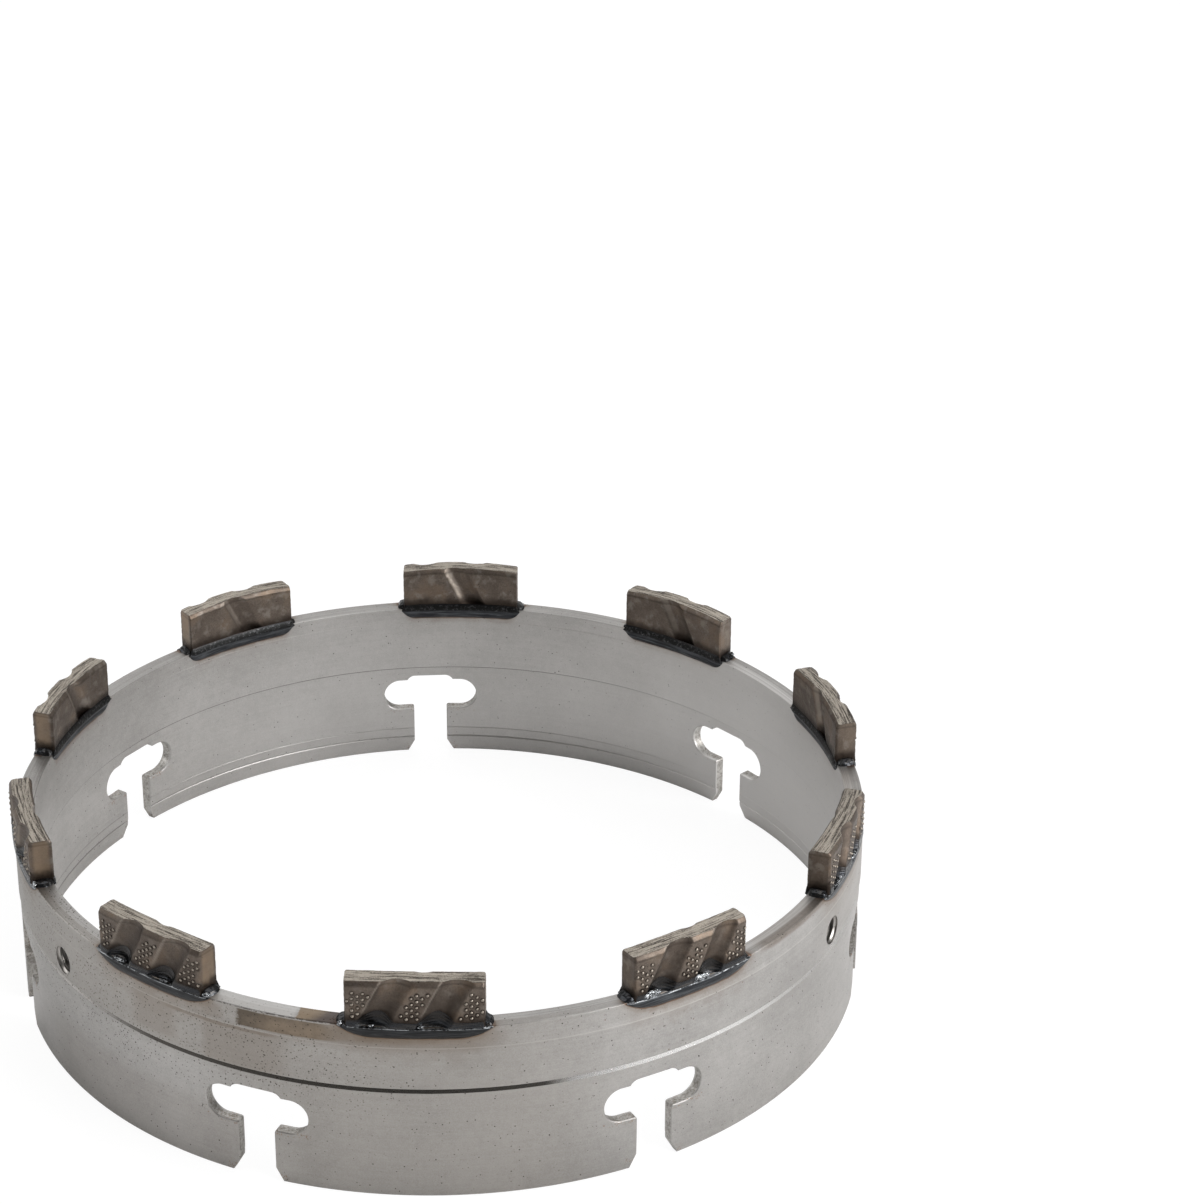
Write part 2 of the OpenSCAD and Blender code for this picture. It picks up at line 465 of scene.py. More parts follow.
# Colours of the braze and of the cut thread
BRAZE_MARKS = {
    "bead": (0.028, 0.030, 0.034), "pale bead": (0.098, 0.104, 0.113), "dark front reflection": (0.018, 0.017, 0.016),
    "pale film": (0.05, 0.046, 0.043), "burnt film": (0.012, 0.009, 0.007),
    "mottle": (0.018, 0.018, 0.018), "pale mottle": (0.11, 0.113, 0.117),
    "foot": (0.05, 0.036, 0.028), "fold": (0.03, 0.032, 0.035),
}
# The thread is painted dark as shade deep in its hole, and lighter near the outside
THREAD_HOLE_SHADE = (0.03, 0.027, 0.024)
THREAD_CREST = (0.42, 0.40, 0.375)

# Stains outside: angle from and to, each with its softness, height from and to, softness, strength
STAINS = (
    (-132, 1.5, -126, 1.5, 24, 31, 1.0, 0.35),
    (-121, 1.0, -111, 2.5, 22.6, 30.6, 0.9, 0.38),
    (-126, 2.0, -112, 2.0, 30.1, 30.7, 0.15, 0.6),
    (-45, 2.0, -30, 1.5, 34.2, 36, 0.6, 0.75),
    (-112, 3.0, -84, 3.0, 30.6, 33.6, 1.0, 0.32),
    (-105, 1.5, -92, 4.0, 31.8, 33.8, 0.7, 0.6),
    (-150, 6.0, -118, 6.0, 0, 12, 3.0, 0.16),
    (-30, 6.0, 0, 6.0, 24, 33, 2.0, 0.12),
    (-121, 0.8, -118.5, 0.8, 31.5, 34, 0.5, 0.4),
)


def beside_seam(f, segs, inside):
    """How far a place lies beyond the tip of the nearest seam, and how far below its edge."""
    half = (segs.length / 2 + segs.seam_end) / MM
    half = inside * ((segs.bead_end - segs.seam_end) / MM) + half
    end = inside * ((segs.bead_round - segs.seam_round) / MM) + segs.seam_round / MM
    sag = segs.seam_drop / MM - TIP_MM
    over = f.from_nearest(segs.first, len(SEGMENTS)) - half
    beyond = (over + (end * (2 * sag) - sag * sag) ** 0.5).most(0.0).least(end)
    middle = RING_HEIGHT / MM - segs.seam_drop / MM
    return over, end + middle - (end * end - beyond * beyond) ** 0.5 - f.z


def steel_finish(colours, sizes, segs):
    """Turned steel: dull patches, fine turning lines, pits, torch tint and stains, with painted shade and
    light on its walls and painted reflections on its step.
    """
    marks = STEEL_MARKS
    f = Finish("turned_steel", roughness=0.42, metallic=1.0)
    arc = arc_of(f.angle)
    around = f.vector(arc, f.radius, f.z)
    streaks = f.noise(0.8, 4, f.vector(arc * 0.06, f.radius, f.z * 2.4))
    clouds = f.noise(0.05, 3)
    mottle = f.noise(0.6, 5, rough=0.7)
    fine = f.noise(2.6, 3, around, rough=0.7)
    grit_fine = f.noise(4.5, 2, rough=0.8)
    shade = clouds * 0.30 + mottle * 0.20 + streaks * 0.08 + fine * 0.12 + grit_fine * 0.30
    f.base = f.mix(colours.steel_dark, colours.steel, shade.step(0.36, 0.64))
    inside = f.radius.step(79.0, 78.5)
    outside = 1 - inside

    # A dark line runs just under each seam's edge; the torch left a brown glow below it and a wide, faint
    # halo
    over, below = beside_seam(f, segs, inside)
    wavy = f.noise(0.35, 4, distortion=0.6)
    line = (below + (wavy - 0.5) * 0.5).band(-1.0, 0.22, 0.12) * over.step(0.8, 0.3)
    glow = (below + (wavy - 0.5) * 2.0).step(1.6, 0.2) * over.step(2.5, 0.4)
    halo = (below + (wavy - 0.5) * 7).step(6.0, 0.5) * over.step(4, -2) * (1 - inside * 0.75)
    f.coat(colours.tint, halo * 0.22)
    f.coat(colours.tint, glow * 0.30)
    f.coat(marks["seam edge"], line * 0.75)

    # Stains, ragged at their edges and darkest in the middle
    rim_edge = RING_HEIGHT / MM
    top = f.z.step(rim_edge - 0.2, rim_edge - 0.05)
    stained = outside.most(top)
    ragged = (f.noise(1.1, 5, rough=0.75) - 0.5) * 2 + (wavy - 0.5) * 2
    wide = f.angle + ragged * 0.7
    for start, start_soft, stop, stop_soft, foot, head, soft, strength in STAINS:
        spot = wide.step(start - start_soft, start + start_soft)
        spot = spot * wide.step(stop + stop_soft, stop - stop_soft)
        spot = spot * (f.z + ragged * 0.25).band(foot, head, soft)
        share = spot * (1.9 - spot) * (0.3 + mottle * 0.9) * strength * stained
        f.coat(f.mix(colours.tint, marks["deep stain"], share * 0.8), share)

    # A brown patch under the rim left of the front segment
    patch = wide.step(-116.5, -116.0) * wide.step(-102, -106)
    patch = patch * (f.z + ragged * 0.12).band(31.25, 34.5, 0.12) * outside
    deep = wide.step(-110.5, -115.5) * 0.75 + f.z.step(32.8, 34.4) * 0.35 + (mottle - 0.42) * 1.4
    f.coat(f.mix(marks["patch"], marks["deep patch"], deep), patch * 0.92)

    # Pits and specks, denser in some places and on the left
    many = f.noise(0.06, 2).step(0.45, 0.62) * 0.06
    worn_side = f.angle.step(-84, -112) * f.angle.step(-179, -170) * f.z.step(8, 22) * 0.13
    pitted = (f.noise(1.3, 1) + many + worn_side - inside * 0.03).step(0.57, 0.62)
    specks = f.cells(1.1).step(0.19, 0.09) * pitted
    f.coat(marks["pit"], specks * 0.9)
    dusty = (f.noise(1.9, 1, around) + worn_side * 1.2).step(0.62, 0.67)
    f.coat(marks["dust"], f.cells(1.7).step(0.30, 0.17) * dusty * (0.28 + worn_side * 4.5))
    red = f.cells(0.45).step(0.10, 0.05) * f.noise(0.5, 1, rough=0.3).step(0.60, 0.66)
    f.coat(marks["red speck"], red * 0.5)

    # Granular rust where the slots' mouths were cut
    grit = f.cells(3.2).step(0.5, 0.25) * f.noise(0.9, 3).step(0.45, 0.6)
    slot = f.from_nearest(sizes.first_slot, sizes.slots)
    mouth = slot.band(3.2, 5.8, 0.5) * f.z.step(2.8, 0.8)
    floor = slot.band(3.4, 10.2, 0.3) * f.z.band(9.8, 10.8, 0.2)
    rusty = (mouth + floor * 0.8).clamp() * grit
    f.coat(colours.rust, rusty * 0.7)

    # A painted highlight along the line below the land, and painted shade in lines inside where turned faces
    # meet, strongest as the shadow under the ledge
    f.coat(marks["bare_and_highlight"], f.z.band(LAND_MM - 0.05, LAND_MM + 0.15, 0.1) * outside * 0.35)
    lead = f.z.band(LEAD_MM - 0.1, LEAD_MM + 0.1, 0.12) * 0.6
    entry = f.z.band(ENTRY_MM - 0.08, ENTRY_MM + 0.06, 0.09) * 0.4
    ledge = f.z.band(LEDGE_MM - 0.02, LEDGE_MM + 0.18, 0.05)
    f.coat(marks["painted line shade"], (lead + entry + ledge) * inside * 0.9)

    # Painted shade, a little brown, darkens the outside in front and on the left; painted light brightens the
    # inside, most on the right and low down, and not on the left
    upper = f.z.step(20, 23)
    painted_shade_outside = upper * f.angle.step(-62, -88) * f.angle.step(-178, -160)
    painted_shade_outside = painted_shade_outside + (1 - upper) * f.angle.band(-115, -72, 10)
    f.coat(marks["painted outside shade"], painted_shade_outside * outside * (0.2 + clouds * 0.2))
    turned_to_side = abs(f.angle)
    painted_light_inside = 0.1 + f.z.step(34, 6) * 0.25 + turned_to_side.step(75, 30) * 0.5
    f.coat(marks["painted_light_inside"], painted_light_inside * turned_to_side.step(150, 105) * inside)

    # The slots' cut faces are rougher, with dark and bare spots
    cut = (f.radius - f.z.step(3.8, 3.4) * 0.55).step(78.35, 78.5)
    cut = cut * f.radius.step(80.18, 80.05) * f.z.step(19.5, 19.0)
    torn = (f.noise(1.9, 4, rough=0.8) * 0.7 + mottle * 0.3).step(0.40, 0.62)
    f.coat(f.mix(marks["cut"], marks["bare_and_highlight"], torn), cut * 0.6)

    # The step was turned to a shine; a dark reflection is painted on it on the left and a bright one on the
    # right
    step = f.z.band(STEP_MM, BAND_MM - 0.1, 0.03) * outside * f.radius.step(80.48, 80.4)
    painted_dark_reflection = f.angle.step(-75, -78) * f.angle.step(-146, -128)
    painted_bright_reflection = f.angle.step(-76, -73) * f.angle.step(-30, -52)
    f.coat(marks["oiled step"], step * painted_dark_reflection * 0.85)
    f.coat(marks["wiped step"], step * painted_bright_reflection * 0.8)

    # Turning lines on top of the rim, and its worn and scorched stretches
    turned = f.noise(1.0, 4, f.vector(arc * 0.03, f.radius * 3.5, 0.0), rough=0.6).step(0.36, 0.6)
    f.coat(marks["rim line"], top * (1 - turned) * 0.35)
    f.coat(marks["worn rim"], top * f.angle.band(-125, -108.6, 0.5) * 0.45)
    scorched = top * (f.angle + ragged * 0.35).band(-108.4, -102, 0.12)
    burnt = (f.angle + ragged * 0.5 + (f.radius - 79) * 0.5).step(-107.2, -104.6)
    f.coat(f.mix(marks["gold"], marks["scorch"], burnt), scorched * 0.8)
    burr = f.z.band(34.72, 34.9, 0.05) * f.angle.band(-128, -98, 2)
    f.coat(marks["burr"], burr * f.noise(1.6, 3).step(0.42, 0.5) * outside * 0.8)

    roughness = 0.40 + mottle * 0.10 + fine * 0.06 + specks * 0.3 + rusty * 0.3 - streaks * 0.04
    roughness = roughness * (1 - step) + step * 0.24
    grain = f.bump(fine * 0.4 + grit_fine * 0.5 + streaks * 0.15, 0.3, 0.03)
    normal = f.bump(1 - specks - rusty * 0.4 + mottle * 0.15, 0.45, 0.10, grain)
    return f.finish(Base_Color=f.base, Roughness=roughness, Normal=normal)


def sintered_finish(colours):
    """Sintered metal: brown and pitted on the sides, ground pale and ridged on top."""
    marks = METAL_MARKS
    f = Finish("sintered_metal", roughness=0.5, metallic=0.85)
    dirt_and_painted_shade, ground, end, bare_and_highlight = (f.layer(name) for name in ("dirt_and_painted_shade", "ground", "end", "bare_and_highlight"))
    along = f.vector(arc_of(f.angle, 79) * 0.17, f.radius * 3.6, f.z * 0.4)
    lines = f.noise(1.0, 5, along, distortion=0.35, rough=0.75)
    clouds = f.noise(0.22, 4)
    grainy = f.noise(3.4, 4, rough=0.75)
    pits = f.cells(1.3).step(0.17, 0.07) * f.noise(1.1, 2).step(0.55, 0.62)
    f.base = f.mix(colours.sintered, marks["pale"], (grainy * 0.6 + clouds * 0.6).step(0.45, 0.9))
    f.coat(marks["brown"], clouds.step(0.48, 0.7) * 0.32)
    rubbed = f.noise(0.42, 3, rough=0.6).step(0.5, 0.68)
    f.coat(marks["rubbed"], rubbed * (0.5 - 0.3 * f.radius.step(79, 80)))
    f.coat(marks["end"], end * (grainy * 0.5 + clouds * 1.1 - 0.1))
    # Painted highlights along the flutes' creases, then dirt at the foot and painted shade in the flutes,
    # under the bevel and round the grains
    f.coat(marks["bare_and_highlight"], bare_and_highlight * 0.45)
    f.coat(marks["dirt_and_painted_shade"], dirt_and_painted_shade * (0.72 + grainy * 0.4))
    flat = ground.step(0.3, 0.9)
    lined = (lines + (grainy - 0.5) * 0.35).step(0.40, 0.56)
    f.coat(f.mix(marks["groove"], colours.ground, lined), flat)
    f.coat(marks["pit"], pits * 0.85)
    relief = f.bump(grainy + (1 - pits) * 0.8, 0.5, 0.10)
    ridges = f.bump(lines * flat, 0.9, 0.28, relief)
    return f.finish(Base_Color=f.base, Roughness=0.36 + grainy * 0.2, Normal=ridges)


def grain_finish():
    """The raised grains: the same metal, worn bright at the tips and painted dark at their feet as shade."""
    f = Finish("grains_worn_and_shaded", roughness=0.32, metallic=0.95)
    worn = f.radius.step(80.72, 80.97) * (0.4 + f.noise(1.7, 2) * 0.9)
    return f.finish(Base_Color=f.mix(METAL_MARKS["grain foot shade"], METAL_MARKS["grain tip"], worn))


def braze_finish(colours):
    """Braze: a satin blue-grey bead, painted darker in front as a dark reflection, a near-black film above
    it, and a painted highlight in silver broken into crinkled runs along its ridge.
    """
    marks = BRAZE_MARKS
    f = Finish("braze", roughness=0.3, metallic=0.9, Coat_Roughness=0.1)
    along = f.vector(arc_of(f.angle) * 0.22, f.radius * 2, f.z * 2.4)
    runs = f.noise(0.9, 5, along, distortion=0.4, rough=0.6)
    spots = f.noise(1.7, 4, rough=0.7)
    height = f.z - RING_HEIGHT / MM
    inside = f.radius.step(78.5, 77.8)
    outside = 1 - inside
    bead = height.step(-0.02, -0.2)
    grey = f.mix(marks["bead"], marks["pale bead"], runs.step(0.38, 0.70))
    # A painted dark reflection on the outer bead in front
    grey = f.mix(grey, marks["dark front reflection"], f.angle.band(-142, -76, 1.0) * outside * 0.6)
    film = f.mix(colours.braze, marks["pale film"], runs.step(0.44, 0.68))
    film = f.mix(film, marks["burnt film"], height.step(0.6, 1.4) * 0.7)
    f.base = f.mix(film, grey, bead)
    mottle = f.mix(marks["mottle"], marks["pale mottle"], spots.step(0.5, 0.72))
    f.coat(mottle, inside * height.step(-0.35, 0.0) * height.step(1.15, 0.85))
    f.coat(marks["foot"], height.step(-1.5, -2.2) * 0.6)
    # A painted highlight in silver along the outer bead's ridge
    ridge_highlight = height.band(-0.2, 0.02, 0.06) * (runs * 0.5 + spots * 0.5).step(0.44, 0.54) * outside
    f.coat(colours.flash_and_highlight, ridge_highlight * 0.75)
    roughness = 0.22 + bead * 0.14 + spots * 0.12 + inside * 0.12
    gloss = (1 - bead) * outside * 0.25
    normal = f.bump(runs * 0.7 + spots * 0.5, 0.5, 0.12)
    return f.finish(Base_Color=f.base, Roughness=roughness, Coat_Weight=gloss, Normal=normal)


def flash_finish(colours):
    """The silvery drops of braze, bright and crinkled, with dark folds."""
    f = Finish("braze_flash", roughness=0.24, metallic=1.0)
    folds = f.noise(1.7, 3, distortion=1.2, rough=0.6)
    base = f.mix(BRAZE_MARKS["fold"], colours.flash_and_highlight, folds.step(0.42, 0.6))
    return f.finish(Base_Color=base, Normal=f.bump(folds, 0.8, 0.25))


def thread_finish():
    """The cut thread, painted dark as shade deep in the hole and lighter steel near the outside."""
    f = Finish("cut_thread", roughness=0.34, metallic=1.0)
    return f.finish(Base_Color=f.mix(THREAD_HOLE_SHADE, THREAD_CREST, f.radius.step(78.6, 79.9)))


def put_finish(piece, *materials):
    piece.data.materials.clear()
    for material in materials:
        piece.data.materials.append(material)


# The ring


def bow(x, z, radius, first, last, count):
    """Points of a round corner about x, z, from one angle to another in degrees."""
    angles = np.radians(np.linspace(first, last, count))
    return [(x + radius * math.cos(a), z + radius * math.sin(a)) for a in angles]


def slot_outline(s):
    """The bayonet slot's outline in millimetres: across, up; one closed line."""
    neck, floor = s.neck / 2 / MM, s.head_foot / MM
    mouth_wide, mouth_high = 1.4, 2.6
    lobe_r = s.lobe / 2 / MM
    lobe_x = s.head / 2 / MM - lobe_r
    relief_r, relief_x, relief_high = 2.0, 3.1, 1
    top = floor + 2 * lobe_r + relief_high
    right = [(neck + mouth_wide, -1.0), (neck + mouth_wide, 0.0), (neck, mouth_high)]
    # The corner from the neck into the head is just rounded
    right += [(neck, floor - 0.4), (neck + 0.12, floor - 0.12), (neck + 0.4, floor)]
    right += bow(lobe_x, floor + lobe_r, lobe_r, -90, 90, 49)
    right += bow(relief_x, top - relief_r, relief_r, 30, 90, 17)
    return right + [(-x, z) for x, z in reversed(right)]


def widened(outline, by):
    """The same outline moved outwards all round."""
    corners = np.array(outline)

    def normals(edges):
        lengths = np.maximum(np.linalg.norm(edges, axis=1), 1e-9)
        return np.stack([edges[:, 1], -edges[:, 0]], axis=1) / lengths[:, None]

    before, after = np.roll(corners, 1, axis=0), np.roll(corners, -1, axis=0)
    out = normals(corners - before) + normals(after - corners)
    out /= np.maximum((out * out).sum(axis=1) / 2, 0.35)[:, None]
    return corners + by * out


def stations(inner, outer, bevel, inward):
    """Where a cutter's rings stand along the radius, and how much wider each is."""
    outward = 3
    return [
        (inner - inward, bevel), (inner, bevel), (inner + bevel, 0),
        (outer - bevel, 0), (outer, bevel), (outer + outward, bevel),
    ]


def cutter(name, outline, centre, rings):
    """A cylinder whose rings are pulled onto an outline, wider where it leaves the wall."""
    count, last = len(outline), len(rings) - 1
    deselect()
    bpy.ops.mesh.primitive_cylinder_add(vertices=count, radius=1, depth=last, end_fill_type="NGON")
    piece = added(name)
    split_along(piece, 2, last - 1)
    x, y, z = points(piece).T
    levels = np.round(z + last / 2).astype(int)
    turns = np.round(np.arctan2(y, x) / (2 * math.pi / count)).astype(int) % count
    shapes = [widened(outline, grow) for _, grow in rings]
    placed = []
    for level, i in zip(levels, turns):
        across, up = shapes[level][i]
        placed.append((centre[0] + across, rings[level][0], centre[1] + up))
    move_points(piece, placed)
    tidy(piece)
    return piece


def ring_rows(s):
    """Inner and outer corners of the ring's section, foot to rim, in millimetres."""
    sizes = (s.skirt, s.band, s.rim, s.bore, s.socket, s.height)
    skirt, band, rim, bore, socket, height = (size / MM for size in sizes)
    inner = [(socket + 0.85, 0), (socket + 0.72, 0.15)]
    outer = [(skirt - 0.15, 0), (skirt, 0.15)]
    # The lead-in ends in a scratch of the turning tool, the entry taper in a fainter one
    inner += [(socket + 0.235, LEAD_MM - 0.25), (socket + 0.34, LEAD_MM), (socket + 0.19, LEAD_MM + 0.25)]
    inner += [(socket + 0.01, ENTRY_MM - 0.1), (socket + 0.05, ENTRY_MM), (socket, ENTRY_MM + 0.1)]
    outer += [(skirt, z) for _, z in inner[2:]]
    # The ledge inside; outside the undercut of the step
    inner += [(socket, LEDGE_MM - 0.2), (socket + 0.06, LEDGE_MM), (bore + 0.12, LEDGE_MM)]
    inner += [(bore, LEDGE_MM + 0.15), (bore, 21.4), (bore, 22.0)]
    outer += [(skirt, LEDGE_MM - 0.2), (skirt, 21.0), (skirt, STEP_MM)]
    outer += [(skirt - 0.27, 22.33), (band - 0.03, 22.48), (band, BAND_MM)]
    # The land under the rim outside, and a fine line inside
    inner += [(bore, LAND_MM), (bore, LAND_EDGE_MM), (bore, 31.9), (bore + 0.02, 32.0), (bore, 32.1)]
    outer += [(band, LAND_MM), (rim, LAND_EDGE_MM), (rim, 31.9), (rim, 32.0), (rim, 32.1)]
    inner += [(bore, height - 0.1), (bore + 0.1, height)]
    outer += [(rim, height - 0.12), (rim - 0.12, height)]
    return inner, outer


def flat_wall(s, span):
    """The ring's section, drawn row by row and pushed out to the whole length of the wall."""
    inner, outer = ring_rows(s)
    deselect()
    bpy.ops.mesh.primitive_plane_add(size=1)
    wall = added("ring")
    corners = [(0, *inner[0]), (0, *outer[0]), (0, *inner[1]), (0, *outer[1])]
    move_points(wall, corners)
    for row in range(2, len(inner)):
        last_row = np.array([(0, *inner[row - 1]), (0, *outer[row - 1])])
        pick_edges(wall, lambda *ends: all(np.abs(last_row - end).max(axis=1).min() < 1e-4 for end in ends))
        bpy.ops.mesh.extrude_region_move()
        bpy.ops.object.mode_set(mode="OBJECT")
        co = points(wall)
        chosen = [v.index for v in wall.data.vertices if v.select]
        chosen.sort(key=lambda i: co[i][1])
        co[chosen[0]], co[chosen[1]] = (0, *inner[row]), (0, *outer[row])
        move_points(wall, co)
    edit_all(wall)
    bpy.ops.mesh.extrude_region_move(TRANSFORM_OT_translate={"value": (span, 0, 0)})
    bpy.ops.object.mode_set(mode="OBJECT")
    # Two rounds of cuts give 720 lengths round the wall
    split_along(wall, 0, 89)
    split_along(wall, 0, 7)
    tidy(wall)
    return wall


def open_ends(wall, span):
    """Takes off both end faces of the flat wall, which meet when it is bent round."""
    only(wall)
    bpy.ops.object.mode_set(mode="EDIT")
    bpy.ops.mesh.select_mode(type="FACE")
    bpy.ops.mesh.select_all(action="DESELECT")
    bpy.ops.object.mode_set(mode="OBJECT")
    for face in wall.data.polygons:
        face.select = abs(face.normal.x) > 0.9 and min(face.center.x, span - face.center.x) < 0.01
    bpy.ops.object.mode_set(mode="EDIT")
    bpy.ops.mesh.delete(type="FACE")
    bpy.ops.object.mode_set(mode="OBJECT")


class OBJECT_OT_turned_ring(bpy.types.Operator):
    """Turned ring with its bayonet slots and threaded holes"""

    bl_idname = "object.drill_ring_body"
    bl_label = "Turned ring"

    def execute(self, context):
        s = context.scene.drill_ring_sizes
        segs = context.scene.drill_ring_segments
        middle = (s.skirt + s.socket) / 2 / MM
        span = 2 * math.pi * middle
        start = s.first_slot - math.pi / s.slots
        wall = flat_wall(s, span)
        rings = stations(s.socket / MM, s.skirt / MM, s.edge / MM, 5)
        centres = [(k + 0.5) * span / s.slots for k in range(s.slots)]
        cutters = [cutter(f"slot_cut_{k}", slot_outline(s), (c, 0), rings) for k, c in enumerate(centres)]
        radius, corners = s.hole / MM, np.radians(np.arange(0, 360, 3.75))
        round_hole = [(radius * math.cos(a), radius * math.sin(a)) for a in corners]
        holes = [((math.radians(a) - start) % (2 * math.pi)) * middle for a in HOLES.values()]
        countersink = 0.3
        rings = stations(s.bore / MM, s.band / MM, countersink, 3)
        for k, x in enumerate(holes):
            cutters.append(cutter(f"hole_cut_{k}", round_hole[::-1], (x, s.hole_height / MM), rings))
        tool = join(cutters, "cuts")
        apply_modifier(wall, "BOOLEAN", operation="DIFFERENCE", solver="EXACT", object=tool)
        bpy.data.objects.remove(tool)
        open_ends(wall, span)
        # The flat wall is bent round. Near a slot or hole its sides stay parallel.
        x, r, z = points(wall).T
        angle = x / middle
        for places, near, far in ((centres, 11.0, 17.5), (holes, 3.8, 6.0)):
            for centre in places:
                off = x - centre
                share = 1 - ease(np.abs(off), near, far)
                angle += share * (np.arcsin(np.clip(off / r, -0.5, 0.5)) - off / middle)
        angle += start
        move_points(wall, np.stack([r * np.cos(angle), r * np.sin(angle), z], axis=1) * MM)
        tidy(wall)
        smooth(wall, 4.5)
        put_finish(wall, steel_finish(context.scene.drill_ring_colours, s, segs))
        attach(wall, "root")
        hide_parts("ring_body")
        return {"FINISHED"}


def thread_line(s):
    """A thread's section in millimetres: along the hole, and out from its middle."""
    start, end = s.bore / MM + 0.25, s.band / MM - 0.3
    root, soft, depth, turns = s.hole / MM + 0.05, 0.06, 0.45, 3
    pitch = (end - start) / turns
    line = [(start, root)]
    for k in range(turns):
        for share, height in ((0.08, soft), (0.45, depth), (0.55, depth), (0.92, soft)):
            line.append((start + (k + share) * pitch, root - height))
    return line + [(end, root)]


class OBJECT_OT_threads(bpy.types.Operator):
    """Turns of thread in the two holes"""

    bl_idname = "object.drill_ring_threads"
    bl_label = "Threads"

    def execute(self, context):
        s = context.scene.drill_ring_sizes
        material = thread_finish()
        line = thread_line(s)
        for name, angle in HOLES.items():
            deselect()
            bpy.ops.mesh.primitive_circle_add(vertices=len(line), fill_type="NGON")
            piece = added(name)
            co = points(piece)
            order = np.argsort(np.arctan2(co[:, 1], co[:, 0]))
            shaped = np.zeros_like(co)
            for i, (along, out) in zip(order, line):
                shaped[i] = (along, 0, out)
            move_points(piece, shaped * MM)
            edit_all(piece)
            bpy.ops.mesh.spin(steps=40, angle=2 * math.pi, center=(0, 0, 0), axis=(1, 0, 0))
            bpy.ops.mesh.select_all(action="SELECT")
            bpy.ops.mesh.remove_doubles(threshold=1e-6)
            bpy.ops.object.mode_set(mode="OBJECT")
            co = points(piece)
            co[:, 2] += s.hole_height
            move_points(piece, turn(co, math.radians(angle)))
            tidy(piece)
            smooth(piece, 40)
            put_finish(piece, material)
            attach(piece, "root")
        return {"FINISHED"}


# The segments


def across_flute(s, u, w, centre):
    """Distance from the middle line of a leaning flute, square to it."""
    middle = s.height / 2 / MM
    return (u - centre - math.tan(s.lean) * (w - middle)) * math.cos(s.lean)


def flute(q, depth, radius):
    """Depth of a round flute at a distance from its middle line."""
    return depth - radius + np.sqrt(np.maximum(radius**2 - q**2, 0))


def deeper(a, b):
    """The larger of two depths, with the corner between them just rounded."""
    return (a + b + np.sqrt((a - b) ** 2 + 0.05**2)) / 2 - 0.01


def flute_centres(s, side):
    return [-s.flute_pitch / 2 / MM, s.flute_pitch / 2 / MM] if side > 0 else [s.inner_shift / MM]


def half_flute(s):
    """Half the width of an outer flute where it meets the land between the grains."""
    rest = s.flute_radius - s.flute_depth + s.grain_height
    return math.sqrt(s.flute_radius**2 - rest**2) / MM


def recess(s, u, w, side):
    """How far a segment's face lies in from its outer radius (side 1) or out from its inner one (side -1)."""
    land = s.grain_height / MM if side > 0 else 0.05
    depth = (s.flute_depth if side > 0 else s.inner_depth) / MM
    found = land + np.zeros_like(u)
    for centre in flute_centres(s, side):
        found = deeper(found, flute(across_flute(s, u, w, centre), depth, s.flute_radius / MM))
    high = s.bevel_height / MM
    bevel = land + s.bevel_width / MM * (w - (s.height / MM - high)) / high
    corner = 0.35
    beyond = np.clip(np.abs(u) - (s.length / 2 / MM - corner), 0, corner)
    return deeper(found, bevel) + corner - np.sqrt(corner**2 - beyond**2)


def grain_places(s, index):
    """Grains in close rows on the lands beside the flutes: along, up and size of each."""
    chooser = random.Random(40 + index)
    pitch, column_pitch = s.grain_pitch / MM, s.grain_column / MM
    found = []
    for column in range(-13, 14):
        for row in range(5):
            u = (column + 0.5) * column_pitch + chooser.uniform(-0.05, 0.05)
            w = 2.0 + (row + 0.5 * (column % 2)) * pitch + chooser.uniform(-0.05, 0.05)
            gaps = [abs(across_flute(s, u, w, c)) - half_flute(s) for c in flute_centres(s, 1)]
            if w < 7.2 and abs(u) < s.length / 2 / MM - 0.5 and min(gaps) > 0.36 and chooser.random() > 0.04:
                found.append((u, w, chooser.uniform(0.85, 1.12)))
    return found


